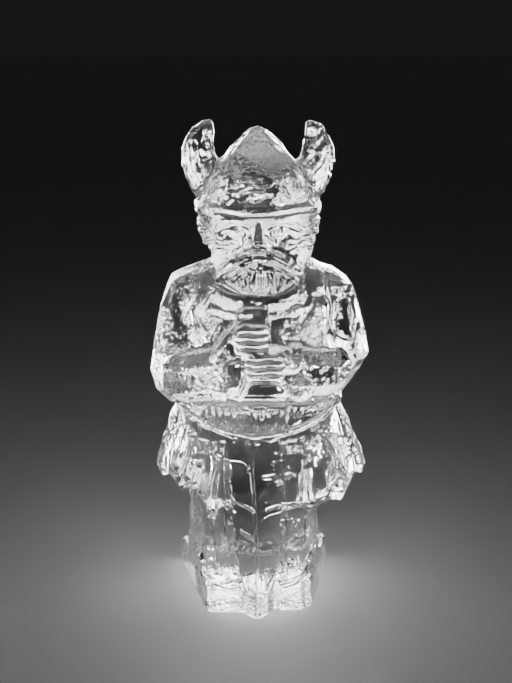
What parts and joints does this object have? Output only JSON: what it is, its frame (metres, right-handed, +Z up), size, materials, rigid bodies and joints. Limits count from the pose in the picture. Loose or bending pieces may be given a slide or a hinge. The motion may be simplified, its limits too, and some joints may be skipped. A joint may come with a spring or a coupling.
{
  "type": "viking warrior figurine",
  "caption": "Solid clear pressed-glass figurine of a bearded warrior in a horned helmet and pleated tunic, leaning both fists on a broad sword, on its own low plinth.",
  "frame": {"origin": "on the underside of the plinth, below the centre of the neck", "axes": "+Z up, -Y the way the figure faces, +X towards the viewer's right in the front view"},
  "size_m": [0.0811, 0.0661, 0.1804],
  "materials": {
    "clear_glass": "clear, fire-polished pressed glass"
  },
  "bodies": {
    "root": {"viking_figure": "clear_glass"}
  },
  "joints": []
}
